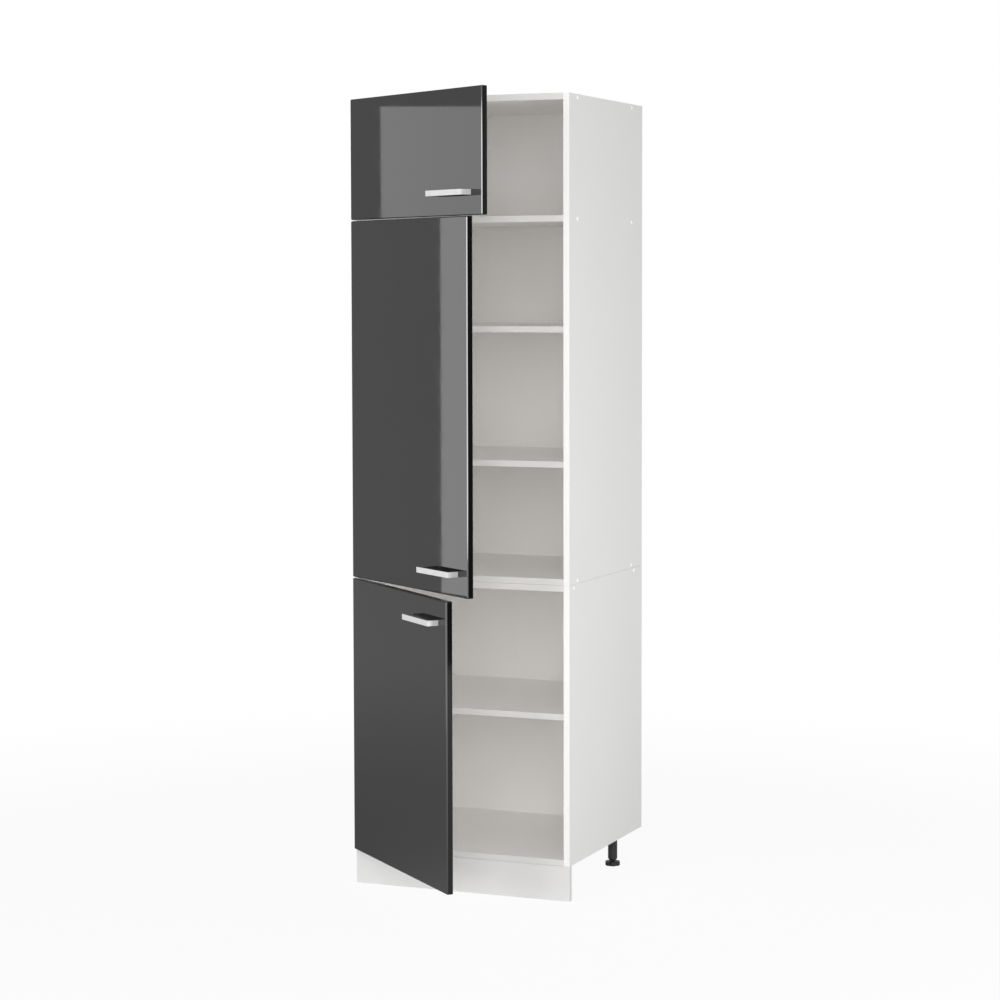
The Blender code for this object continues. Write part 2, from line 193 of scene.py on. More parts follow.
def turnUp(name, centre, profile, sides):
    # a round piece grown upwards ring by ring: each step of the profile is a radius and a height
    x, y = centre
    firstRadius, firstZ = profile[0]
    pickNone()
    bpy.ops.mesh.primitive_circle_add(vertices=sides, radius=firstRadius, fill_type="NGON",
                                      location=(x, y, firstZ))
    piece = nameIt(name)
    editPick(piece, "FACE", lambda face: True)
    for (radius, z), (nextRadius, nextZ) in zip(profile, profile[1:]):
        bpy.ops.mesh.extrude_region_move(TRANSFORM_OT_translate={"value": (0, 0, nextZ - z)})
        grow = nextRadius / radius
        bpy.ops.transform.resize(value=(grow, grow, 1), center_override=(x, y, nextZ))
    bpy.ops.mesh.select_all(action="SELECT")
    bpy.ops.mesh.normals_make_consistent(inside=False)
    leaveEdit()
    return piece


def placeCopy(model, name, spot, facing, spin=0):
    # a copy of a model that lies on the origin face up, now at the spot and looking along facing
    twin = model.copy()
    twin.data = model.data.copy()
    twin.name = twin.data.name = name
    bpy.context.scene.collection.objects.link(twin)
    aim = Vector(facing).to_track_quat("Z", "Y").to_matrix().to_4x4()
    twin.matrix_world = Matrix.Translation(spot) @ aim @ Matrix.Rotation(math.radians(spin), 4, "Z")
    return twin


def finishPiece(piece, materials, body, replaced=(), turn=None, smoothAngle=30):
    pickOnly(piece)
    if turn is not None:
        piece.matrix_world = turn @ piece.matrix_world
    bpy.ops.object.transform_apply(location=True, rotation=True, scale=True)
    bpy.ops.object.shade_smooth_by_angle(angle=math.radians(smoothAngle))
    flatten = piece.modifiers.new("flatten", "WEIGHTED_NORMAL")   # keeps flat faces flat in reflections
    flatten.keep_sharp = True
    flatten.weight = 100    # the largest face at a corner decides
    bpy.ops.object.modifier_apply(modifier=flatten.name)
    if materials is not None:
        piece.data.materials.clear()
        for material in materials:
            piece.data.materials.append(material)
    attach(piece, body)
    if replaced:
        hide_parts(*replaced)
    return piece


def giveMaterials(piece, main, others):
    # the main material, and each other one on the faces that pass its test
    piece.data.materials.append(main)
    for number, (material, test) in enumerate(others, start=1):
        piece.data.materials.append(material)
        editPick(piece, "FACE", test)
        piece.active_material_index = number
        bpy.ops.object.material_slot_assign()
        leaveEdit()


# Places read from the frame

def middleOf(nodeName):
    low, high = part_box(nodeName)
    return (low + high) / 2


def doorTurn(label):
    # the move from a closed door at its own hinge edge to where the door stands
    joint = next(j for j in frame["joints"] if j["name"] == f"{label}_door_swing")
    x, y = joint["pos_m"][:2]
    ajar = math.radians(joint["range_deg"][0])
    return Matrix.Translation((x, y, 0)) @ Matrix.Rotation(ajar, 4, "Z")


def closedBox(nodeName, turn):
    # a door piece's corners with the door shut: x from the hinge edge, y from the front face
    back = turn.inverted()
    spots = [back @ v.co for v in nodes[nodeName].data.vertices]
    low = Vector(min(s[i] for s in spots) for i in range(3))
    high = Vector(max(s[i] for s in spots) for i in range(3))
    return low, high


# Shader groups

def newGroup(name, inputs, outputs):
    # gives the group, what it is given and what it gives out
    group = bpy.data.node_groups.new(name, "ShaderNodeTree")
    for label, kind, value in inputs:
        socket = group.interface.new_socket(name=label, in_out="INPUT", socket_type=kind)
        if value is not None:
            socket.default_value = value
    for label, kind in outputs:
        group.interface.new_socket(name=label, in_out="OUTPUT", socket_type=kind)
    return group, group.nodes.new("NodeGroupInput").outputs, group.nodes.new("NodeGroupOutput").inputs


def addNode(tree, kind, inputs, **settings):
    # each input is another node's output or a plain value; what comes back is the new node's outputs
    node = tree.nodes.new(kind)
    for label, value in settings.items():
        setattr(node, label, value)
    for label, value in inputs.items():
        if isinstance(value, bpy.types.NodeSocket):
            tree.links.new(value, node.inputs[label])
        else:
            node.inputs[label].default_value = value
    return node.outputs


def addMath(tree, operation, *values):
    return addNode(tree, "ShaderNodeMath", dict(enumerate(values)), operation=operation)[0]


def addNoise(tree, place, scale, detail=2.0, roughness=0.5):
    return addNode(tree, "ShaderNodeTexNoise", {
        "Vector": place, "Scale": scale, "Detail": detail, "Roughness": roughness})["Fac"]


def addRange(tree, value, fromLow, fromHigh, toLow, toHigh, smooth=False):
    return addNode(tree, "ShaderNodeMapRange", {
        "Value": value, "From Min": fromLow, "From Max": fromHigh, "To Min": toLow, "To Max": toHigh},
        interpolation_type="SMOOTHSTEP" if smooth else "LINEAR")["Result"]


def addMix(tree, factor, first, second):
    node = tree.nodes.new("ShaderNodeMix")
    node.data_type = "RGBA"
    tree.links.new(factor, node.inputs["Factor"])
    for label, value in (("A", first), ("B", second)):
        socket = next(s for s in node.inputs if s.name == label and s.type == "RGBA")
        if isinstance(value, tuple):
            socket.default_value = (*value, 1)
        else:
            tree.links.new(value, socket)
    return next(s for s in node.outputs if s.type == "RGBA")


def splitAxes(tree, place):
    return addNode(tree, "ShaderNodeSeparateXYZ", {"Vector": place})


def addMapping(tree, place, label, value):
    # label says which of a mapping's inputs the value is for
    return addNode(tree, "ShaderNodeMapping", {"Vector": place, label: value})["Vector"]


noiseSpan = (0.32, 0.68)   # nearly all of a noise's values lie between these


def makeMottleGroup():
    # soft uneven patches between two values, for roughness and tone
    group, given, out = newGroup("mottle", [
        ("Place", "NodeSocketVector", None), ("Scale", "NodeSocketFloat", 10.0),
        ("Low", "NodeSocketFloat", 0.0), ("High", "NodeSocketFloat", 1.0)], [("Value", "NodeSocketFloat")])
    noise = addNoise(group, given["Place"], given["Scale"], detail=4.0, roughness=0.55)
    group.links.new(addRange(group, noise, *noiseSpan, given["Low"], given["High"]), out["Value"])
    return group


noiseShare = 0.6   # of the pearl texture, the rest is cells


def makePearlGroup():
    # the fine pressed pearl texture of melamine foil
    group, given, out = newGroup("pearl", [
        ("Place", "NodeSocketVector", None), ("Scale", "NodeSocketFloat", 900.0)],
        [("Height", "NodeSocketFloat")])
    coarse = addNoise(group, given["Place"], given["Scale"])
    cells = addNode(group, "ShaderNodeTexVoronoi", {"Vector": given["Place"], "Scale": given["Scale"]},
                    feature="SMOOTH_F1")
    mixed = addMath(group, "ADD", addMath(group, "MULTIPLY", coarse, noiseShare),
                    addMath(group, "MULTIPLY", cells["Distance"], 1 - noiseShare))
    group.links.new(mixed, out["Height"])
    return group


chipLook = {
    "stretch": (1.6, 1.6, 0.7),
    "scale": 420,
    "brown": (0.34, 0.22, 0.125),
    "straw": (0.58, 0.43, 0.27),
    "bark": (0.13, 0.075, 0.04),
    "barkSpan": (0.86, 0.92),      # only the chips past this are bark
}


def makeChipGroup():
    # pressed wood chips on a sawn edge
    look = chipLook
    group, given, out = newGroup("chips", [("Place", "NodeSocketVector", None)],
                                 [("Colour", "NodeSocketColor")])
    stretched = addMapping(group, given["Place"], "Scale", look["stretch"])
    flakes = addNode(group, "ShaderNodeTexVoronoi", {"Vector": stretched, "Scale": look["scale"]})
    tone = addNode(group, "ShaderNodeSeparateColor", {"Color": flakes["Color"]})
    light = addMix(group, tone["Red"], look["brown"], look["straw"])
    dark = addRange(group, tone["Green"], *look["barkSpan"], 0.0, 1.0)
    group.links.new(addMix(group, dark, light, look["bark"]), out["Colour"])
    return group


brushLook = {
    "stretch": (12, 900, 2600),
    "span": (0.3, 0.7),
}


def makeBrushGroup():
    # fine lines along the first axis, as a belt leaves them on metal
    look = brushLook
    group, given, out = newGroup("brushLines", [
        ("Place", "NodeSocketVector", None), ("Low", "NodeSocketFloat", 0.1),
        ("High", "NodeSocketFloat", 0.3)],
        [("Roughness", "NodeSocketFloat"), ("Height", "NodeSocketFloat")])
    stretched = addMapping(group, given["Place"], "Scale", look["stretch"])
    lines = addNoise(group, stretched, 1.0, detail=3.0)
    group.links.new(addRange(group, lines, *look["span"], given["Low"], given["High"]), out["Roughness"])
    group.links.new(lines, out["Height"])
    return group


mottleGroup = makeMottleGroup()
pearlGroup = makePearlGroup()
chipGroup = makeChipGroup()
brushGroup = makeBrushGroup()


# Materials

def startMaterial(name, roughness, metallic=0.0):
    material = bpy.data.materials.new(name)
    material.use_nodes = True
    tree = material.node_tree
    shader = tree.nodes["Principled BSDF"]
    shader.inputs["Roughness"].default_value = roughness
    shader.inputs["Metallic"].default_value = metallic
    place = tree.nodes.new("ShaderNodeTexCoord").outputs["Object"]
    return material, tree, shader, place


def useGroup(tree, group, place, **values):
    return addNode(tree, "ShaderNodeGroup", {"Place": place, **values}, node_tree=group)


def addBump(tree, shader, height, distance):
    bump = addNode(tree, "ShaderNodeBump", {"Height": height, "Distance": distance})
    tree.links.new(bump["Normal"], shader.inputs["Normal"])


def mottledColour(tree, place, scale, first, second):
    tone = useGroup(tree, mottleGroup, place, Scale=scale)
    return addMix(tree, tone["Value"], first, second)


def mottledRoughness(tree, shader, place, scale, look):
    rough = useGroup(tree, mottleGroup, place, Scale=scale, Low=look["roughLow"], High=look["roughHigh"])
    tree.links.new(rough["Value"], shader.inputs["Roughness"])
    return rough["Value"]


melamineLook = {
    "white": (0.865, 0.862, 0.856),
    "whiteShade": (0.855, 0.852, 0.845),
    # the plinth's white is the outer white made darker: painted shade
    "plinth": (0.785, 0.782, 0.776),
    "plinthShade": (0.775, 0.772, 0.765),
    # the inside white is the outer white made lighter: painted light on the shaded inside of the carcass
    "inside": (0.957, 0.946, 0.934),
    "insideShade": (0.950, 0.938, 0.925),
    # the edge band in two copies: lighter on the sides, painted light, and darker on shelves and boards,
    # painted shade of the doors and the carcass
    "litSideBand": (0.945, 0.943, 0.938),
    "shadedShelfBand": (0.752, 0.739, 0.726),
    "bandWidth": 0.0008,        # edge band thickness at the front
    "bandJoint": 0.00025,       # glue line behind the band
    "jointColour": (0.52, 0.51, 0.49),
    "patchScale": 3.0,
    "roughScale": 40.0,
    "roughLow": 0.36,
    "roughHigh": 0.46,
    "pearlScale": 850,
    "pearlDepth": 0.00002,
}


def makeMelamine(name, tint="white", bandFront=None, band=None, sawnRear=None):
    # bandFront is the y of a banded front edge, band its colour (painted light on the sides, painted shade on
    # shelves and boards), sawnRear the y of a bare edge at the back
    look = melamineLook
    material, tree, shader, place = startMaterial(name, look["roughHigh"])
    colour = mottledColour(tree, place, look["patchScale"], look[tint], look[tint + "Shade"])
    mottledRoughness(tree, shader, place, look["roughScale"], look)
    height = useGroup(tree, pearlGroup, place, Scale=look["pearlScale"])["Height"]
    axes = splitAxes(tree, place)
    if bandFront is not None:
        line = bandFront + look["bandWidth"]
        past = addMath(tree, "GREATER_THAN", axes["Y"], line)
        before = addMath(tree, "LESS_THAN", axes["Y"], line + look["bandJoint"])
        # faces inside the carcass take the lighter inside white: painted light
        paintedLightInside = addMath(tree, "LESS_THAN", addMath(tree, "ABSOLUTE", axes["X"]), sideMiddle)
        inner = mottledColour(tree, place, look["patchScale"], look["inside"], look["insideShade"])
        colour = addMix(tree, paintedLightInside, colour, inner)
        colour = addMix(tree, past, band, colour)
        colour = addMix(tree, addMath(tree, "MULTIPLY", past, before), colour, look["jointColour"])
    if sawnRear is not None:
        chips = useGroup(tree, chipGroup, place)
        bare = addMath(tree, "GREATER_THAN", axes["Y"], sawnRear - tiny * 4)
        colour = addMix(tree, bare, colour, chips["Colour"])
    tree.links.new(colour, shader.inputs["Base Color"])
    addBump(tree, shader, height, look["pearlDepth"])
    return material


backLook = {
    "patchScale": 4.0,
    "fibreScale": 260.0,
    "fibreDepth": 0.00003,
    "fibreDark": (0.23, 0.14, 0.075),
    "fibreLight": (0.33, 0.215, 0.125),
    "roughInside": 0.46,
    "roughBehind": 0.72,
}


def makeBackBoard(name, middleY):
    # white foil inside, in the lighter inside white that is painted light; brown fibreboard behind
    look = backLook
    material, tree, shader, place = startMaterial(name, look["roughInside"])
    inside = melamineLook["inside"], melamineLook["insideShade"]
    white = mottledColour(tree, place, look["patchScale"], *inside)
    fibres = useGroup(tree, mottleGroup, place, Scale=look["fibreScale"])["Value"]
    brown = addMix(tree, fibres, look["fibreDark"], look["fibreLight"])
    behind = addMath(tree, "GREATER_THAN", splitAxes(tree, place)["Y"], middleY)
    tree.links.new(addMix(tree, behind, white, brown), shader.inputs["Base Color"])
    rough = addRange(tree, behind, 0.0, 1.0, look["roughInside"], look["roughBehind"])
    tree.links.new(rough, shader.inputs["Roughness"])
    addBump(tree, shader, fibres, look["fibreDepth"])
    return material


foilLook = {
    "colour": (0.0136, 0.0138, 0.0144),
    "shade": (0.0148, 0.0150, 0.0156),
    # the door's edges, side and rounded corner are darker than its face: painted shade
    "paintedShadeColour": (0.0052, 0.0052, 0.0055),
    "paintedShadeTone": (0.0060, 0.0060, 0.0063),
    "faceGloss": 1.5,          # IOR of the front and the side
    "edgeGloss": 1.3,          # above and below
    "rimGloss": 2.2,           # round the front corner
    "patchScale": 3.0,
    "roughScale": 22.0,
    "roughLow": 0.02,
    "roughHigh": 0.045,
    "swellScale": 9.0,         # the slight waves that gloss foil shows
    "swellDepth": 0.00001,
}


def makeGlossFoil(name, gloss, deep=False):
    # anthracite gloss; deep gives the edges, side and rounded corner a darker colour than the face: painted
    # shade
    look = foilLook
    first, second = ("paintedShadeColour", "paintedShadeTone") if deep else ("colour", "shade")
    material, tree, shader, place = startMaterial(name, look["roughHigh"])
    colour = mottledColour(tree, place, look["patchScale"], look[first], look[second])
    tree.links.new(colour, shader.inputs["Base Color"])
    mottledRoughness(tree, shader, place, look["roughScale"], look)
    shader.inputs["IOR"].default_value = look[gloss]
    swell = useGroup(tree, mottleGroup, place, Scale=look["swellScale"])
    addBump(tree, shader, swell["Value"], look["swellDepth"])
    return material


steelLook = {
    "colour": (0.77, 0.77, 0.775),
    "shade": (0.72, 0.72, 0.727),
    "patchScale": 60.0,
    "roughLow": 0.12,
    "roughHigh": 0.24,
    "lineDepth": 0.000004,
}


def makeSatinSteel(name, turnAngle, metallic=1.0):
    # brushed along the bar, which stands turned with its door
    look = steelLook
    material, tree, shader, place = startMaterial(name, look["roughHigh"], metallic=metallic)
    along = addMapping(tree, place, "Rotation", (0, 0, turnAngle))
    brush = useGroup(tree, brushGroup, along, Low=look["roughLow"], High=look["roughHigh"])
    colour = mottledColour(tree, place, look["patchScale"], look["colour"], look["shade"])
    tree.links.new(colour, shader.inputs["Base Color"])
    tree.links.new(brush["Roughness"], shader.inputs["Roughness"])
    addBump(tree, shader, brush["Height"], look["lineDepth"])
    return material


nickelLook = {
    "colour": (0.66, 0.65, 0.62),
    "shade": (0.56, 0.55, 0.525),
    "patchScale": 120.0,
    "roughScale": 260.0,
    "roughLow": 0.2,
    "roughHigh": 0.36,
    "depth": 0.00001,
}


def makeNickel(name):
    look = nickelLook
    material, tree, shader, place = startMaterial(name, look["roughHigh"], metallic=1.0)
    colour = mottledColour(tree, place, look["patchScale"], look["colour"], look["shade"])
    tree.links.new(colour, shader.inputs["Base Color"])
    rough = mottledRoughness(tree, shader, place, look["roughScale"], look)
    addBump(tree, shader, rough, look["depth"])
    return material


plasticLooks = {
    "blackPlastic": {"colour": (0.046, 0.046, 0.047), "shade": (0.036, 0.036, 0.037),
                     "roughLow": 0.34, "roughHigh": 0.5, "grainDepth": 0.00002},
    "whitePlastic": {"colour": (0.975, 0.975, 0.970), "shade": (0.960, 0.960, 0.955),
                     "roughLow": 0.22, "roughHigh": 0.32, "grainDepth": 0.00001},
    "clearRubber": {"colour": (0.62, 0.62, 0.60), "shade": (0.58, 0.58, 0.56),
                    "roughLow": 0.18, "roughHigh": 0.28, "grainDepth": 0.00001},
}
plasticScales = {"patch": 30.0, "rough": 90.0, "grain": 900.0}


def makePlastic(name):
    look = plasticLooks[name]
    material, tree, shader, place = startMaterial(name, look["roughHigh"])
    colour = mottledColour(tree, place, plasticScales["patch"], look["colour"], look["shade"])
    tree.links.new(colour, shader.inputs["Base Color"])
    mottledRoughness(tree, shader, place, plasticScales["rough"], look)
    grain = useGroup(tree, pearlGroup, place, Scale=plasticScales["grain"])
    addBump(tree, shader, grain["Height"], look["grainDepth"])
    return material


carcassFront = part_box("lower_side_right")[0].y
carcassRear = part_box("lower_side_right")[1].y
sideMiddle = middleOf("lower_side_right").x
# shelves and boards take the darker band copy: painted shade
boardFoil = makeMelamine("boardFoil", bandFront=carcassFront, band=melamineLook["shadedShelfBand"])
sideFoil = makeMelamine("sideFoil", bandFront=carcassFront, band=melamineLook["litSideBand"],
                        sawnRear=carcassRear)
shelfFoil = makeMelamine("shelfFoil", bandFront=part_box("lower_shelf")[0].y, band=melamineLook["shadedShelfBand"])
plainFoil = makeMelamine("plainFoil")
backFoil = makeBackBoard("backFoil", middleOf("upper_back_panel").y)
glossFoil = makeGlossFoil("glossFoil", "faceGloss")
# the edges, side and rounded corner take the darker foil: painted shade
glossEdge = makeGlossFoil("glossEdge", "edgeGloss", deep=True)
glossSide = makeGlossFoil("glossSide", "faceGloss", deep=True)
glossRim = makeGlossFoil("glossRim", "rimGloss", deep=True)
nickel = makeNickel("nickel")
blackPlastic, whitePlastic, clearRubber = (makePlastic(name) for name in plasticLooks)
print("materials ready")


# Screw heads, modelled once and copied

screwLook = {
    "smallRadius": 0.0032,
    "largeRadius": 0.0042,
    "headHeight": 0.0011,
    "profile": ((1, 0), (1, 0.35), (0.88, 0.75), (0.6, 1), (0.1, 1)),   # shares of the radius and height
    "slotWidthShare": 0.17,
    "slotLengthShare": 0.62,
    "slotDepthShare": 0.55,
}


def makeScrewHead(name, radius):
    # a low domed head with a cross recess, lying on the origin with its face up
    look = screwLook
    height = look["headHeight"]
    head = turnUp(name, (0, 0), [(radius * wide, height * up) for wide, up in look["profile"]], sides=28)
    reach = radius * look["slotLengthShare"]
    half = radius * look["slotWidthShare"] / 2
    deep = height * (1 - look["slotDepthShare"])
    cut(head, addBox("crossTool", (-reach, -half, deep), (reach, half, height * 2)))
    cut(head, addBox("crossTool", (-half, -reach, deep), (half, reach, height * 2)))
    return head


smallScrew = makeScrewHead("smallScrew", screwLook["smallRadius"])
largeScrew = makeScrewHead("largeScrew", screwLook["largeRadius"])


def placeScrew(model, name, spot, facing, body, turn=None, spin=20):
    finishPiece(placeCopy(model, name, spot, facing, spin), [nickel], body, turn=turn)


def placeScrewPair(model, name, spot, spread, facing, body, turn=None, spin=20):
    # one below the spot and one above it
    for end, offset in (("Low", -spread), ("High", spread)):
        placeScrew(model, name + end, Vector(spot) + Vector((0, 0, offset)), facing, body, turn, spin)


# Carcass boards

sideLook = {
    "arris": 0.0003,
    "holeRadius": 0.0025,
    "holeDepth": 0.009,
    "holePitch": 0.032,
    "holesEachWay": 2,
    "grooveClearance": 0.0003,
    "grooveDepth": 0.008,
}


capLook = {
    "radius": 0.0060,
    "seatRadius": 0.00625,
    "seatDepth": 0.0010,
    "rootShare": 0.96,
    "proud": 0.0024,
    "domeSteps": (0, 15, 30, 45, 60, 75, 86),   # degrees up the dome
    "lowerFront": 0.035,       # from the carcass front
    "lowerRear": 0.487,
    "upperFront": 0.060,
    "upperRear": 0.4665,
}


capBoards = {"lower": ["lower_top_board"],
             "upper": ["upper_floor_board", "upper_fixed_shelf", "upper_top_board"]}


def capSpots(carcass, hand):
    # where the caps of one side board stand on its outer face
    low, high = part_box(f"{carcass}_side_{hand}")
    face = low.x if hand == "left" else high.x
    for board in capBoards[carcass]:
        for end in ("Front", "Rear"):
            spot = Vector((face, carcassFront + capLook[carcass + end], middleOf(board).z))
            yield f"{board}_{hand}{end}", spot


def makeSideBoard(carcass, hand):
    # a side with its groove for the back panel and the rows of holes round each loose shelf's pins
    look = sideLook
    nodeName = f"{carcass}_side_{hand}"
    low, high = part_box(nodeName)
    board = addBox(f"{carcass}Side{hand.title()}", low, high)
    softenEdges(board, look["arris"])
    inward = 1 if hand == "left" else -1
    face = high.x if hand == "left" else low.x
    panelLow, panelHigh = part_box(f"{carcass}_back_panel")
    bottom = face - inward * look["grooveDepth"]
    top = face + inward * look["grooveDepth"]
    grooveLow = (min(bottom, top), panelLow.y - look["grooveClearance"], low.z - overcut)
    grooveHigh = (max(bottom, top), panelHigh.y + look["grooveClearance"], high.z + overcut)
    cut(board, addBox("grooveTool", grooveLow, grooveHigh))
    drills = []
    shelves = ["lower_shelf"] if carcass == "lower" else ["upper_shelf_low", "upper_shelf_high"]
    for shelf in shelves:
        for end in ("front", "rear"):
            pin = middleOf(f"{shelf}_pin_{hand}_{end}")
            for step in range(-look["holesEachWay"], look["holesEachWay"] + 1):
                z = pin.z + step * look["holePitch"]
                drills.append(addRod("drill", (face + inward * overcut, pin.y, z),
                                     (face - inward * look["holeDepth"], pin.y, z),
                                     look["holeRadius"], sides=16))
    for _, spot in capSpots(carcass, hand):
        outside = Vector((-inward * overcut, 0, 0))
        drills.append(addRod("drill", spot + outside, spot + Vector((inward * capLook["seatDepth"], 0, 0)),
                             capLook["seatRadius"], sides=40))
    cut(board, joinAll(drills))
    finishPiece(board, [sideFoil], "carcass", replaced=[nodeName])


for carcass in ("lower", "upper"):
    for hand in ("left", "right"):
        makeSideBoard(carcass, hand)
for nodeName in ("lower_floor_board", "lower_top_board", "upper_floor_board", "upper_top_board",
                 "upper_fixed_shelf"):
    nodes[nodeName].data.materials[0] = boardFoil
for nodeName in ("lower_shelf", "upper_shelf_low", "upper_shelf_high"):
    nodes[nodeName].data.materials[0] = shelfFoil
for nodeName in ("lower_back_panel", "upper_back_panel"):
    nodes[nodeName].data.materials[0] = backFoil
print("carcass boards ready")


# White caps over the connecting screws, on the outside of both sides

def makeCaps():
    look = capLook
    top = look["proud"]
    dome = [(look["radius"] * math.cos(math.radians(lift)), top * math.sin(math.radians(lift)))
            for lift in look["domeSteps"]]
    root = (look["radius"] * look["rootShare"], -look["seatDepth"])
    cap = turnUp("coverCap", (0, 0), [root] + dome, sides=32)
    for carcass in ("lower", "upper"):
        for hand, outward in (("left", -1), ("right", 1)):
            for name, spot in capSpots(carcass, hand):
                piece = placeCopy(cap, f"cap_{name}", spot, (outward, 0, 0))
                finishPiece(piece, [whitePlastic], "carcass", smoothAngle=40)
    bpy.data.objects.remove(cap)


makeCaps()
print("cover caps ready")


# Doors

doorLook = {
    "frontRadius": 0.003,
    "frontSteps": 6,
    "rearArris": 0.0005,
    "boreClearance": 0.0003,
    "bumperRadius": 0.004,
    "bumperHeight": 0.0014,
    "bumperEaseShare": 0.45,
    "bumperFromEdge": 0.0075,
    "bumperFromEnd": 0.030,
    # shares of a face's normal that tell which foil it has
    "rimSide": 0.15,
    "rimFront": 0.05,
    "flatSide": 0.995,
    "endLift": 0.35,
}


def makeDoor(label):
    look = doorLook
    body = f"{label}_front"
    turn = doorTurn(label)
    low, high = closedBox(f"{label}_door", turn)
    door = addBox(f"{label}DoorPanel", low, high)
    rearEdge = lambda edge: all(v.co.y > high.y - tiny for v in edge.verts)
    softenEdges(door, look["frontRadius"], look["frontSteps"], test=lambda edge: not rearEdge(edge))
    softenEdges(door, look["rearArris"], test=rearEdge)
    for place in ("lower", "upper"):
        cupLow, cupHigh = closedBox(f"{label}_door_hinge_cup_{place}", turn)
        centre = (cupLow + cupHigh) / 2
        radius = (cupHigh.x - cupLow.x) / 2 + look["boreClearance"]
        cut(door, addRod("boreTool", (centre.x, cupLow.y - look["boreClearance"], centre.z),
                         (centre.x, high.y + overcut, centre.z), radius, sides=64))
    giveMaterials(door, glossFoil, [
        (glossRim, lambda face: face.normal.x > look["rimSide"] and face.normal.y < -look["rimFront"]),
        (glossSide, lambda face: face.normal.x > look["flatSide"]),
        (plainFoil, lambda face: face.normal.y > towards),
        (glossEdge, lambda face: abs(face.normal.z) > look["endLift"])])
    finishPiece(door, None, body, replaced=[f"{label}_door"], turn=turn)
    for end, z in (("Low", low.z + look["bumperFromEnd"]), ("High", high.z - look["bumperFromEnd"])):
        spot = Vector((high.x - look["bumperFromEdge"], high.y, z))
        bumper = addRod(f"{label}Bumper{end}", spot, spot + Vector((0, look["bumperHeight"], 0)),
                        look["bumperRadius"], sides=32)
        bevelByAngle(bumper, look["bumperHeight"] * look["bumperEaseShare"], steps=3)
        finishPiece(bumper, [clearRubber], body, turn=turn, smoothAngle=50)


# Handles

handleLook = {
    "barThickness": 0.004,
    "legThickness": 0.005,
    "outerCorner": 0.0008,
    "arris": 0.0005,
    "endMetallic": 0.4,
}


def makeHandle(label):
    # a flat bar with both ends carried back to the door
    look = handleLook
    body = f"{label}_front"
    turn = doorTurn(label)
    low, high = closedBox(f"{label}_door_handle", turn)
    barRear = low.y + look["barThickness"]
    bar = addBox(f"{label}Handle", low, (high.x, barRear, high.z))
    for x in (low.x + look["legThickness"], high.x - look["legThickness"]):
        editPick(bar, "FACE", lambda face: True)
        bpy.ops.mesh.bisect(plane_co=(x, 0, 0), plane_no=(1, 0, 0))
        leaveEdit()
    fromMiddle = lambda face: abs(face.calc_center_median().x - (low.x + high.x) / 2)
    half = (high.x - low.x) / 2
    editPick(bar, "FACE", lambda face: face.normal.y > towards and
             fromMiddle(face) > half - look["legThickness"])
    bpy.ops.mesh.extrude_region_move(TRANSFORM_OT_translate={"value": (0, high.y - barRear, 0)})
    leaveEdit()
    across = runsAlong(0)
    corner = lambda edge: not across(edge) and all(v.co.y < low.y + tiny for v in edge.verts) and \
        min(abs(edge.verts[0].co.x - low.x), abs(edge.verts[0].co.x - high.x)) < tiny
    softenEdges(bar, look["outerCorner"], steps=5, test=corner)
    bevelByAngle(bar, look["arris"], steps=3, angle=50)
    turnAngle = -turn.to_euler().z
    steel = makeSatinSteel(f"{label}HandleSteel", turnAngle)
    endSteel = makeSatinSteel(f"{label}HandleEndSteel", turnAngle, look["endMetallic"])
    giveMaterials(bar, steel, [(endSteel, lambda face: fromMiddle(face) > half - tiny)])
    finishPiece(bar, None, body, replaced=[f"{label}_door_handle"], turn=turn)
    rear = closedBox(f"{label}_door", turn)[1].y
    middleZ = (low.z + high.z) / 2
    for end, x in (("Left", low.x + look["legThickness"] / 2), ("Right", high.x - look["legThickness"] / 2)):
        placeScrew(largeScrew, f"{label}HandleScrew{end}", (x, rear, middleZ), (0, 1, 0), body, turn)


# Hinges

cupLook = {
    "wall": 0.001,
    "arris": 0.00025,
    "wingThickness": 0.0012,
    "wingCorner": 0.0045,
    "wingWidth": 0.021,
    "screwSpread": 0.021,
    "notchDepth": 0.0025,
    "notchHalf": 0.0073,
    "pinRadius": 0.0014,
    "pinArris": 0.0003,
    "pinOffset": 0.0015,
}


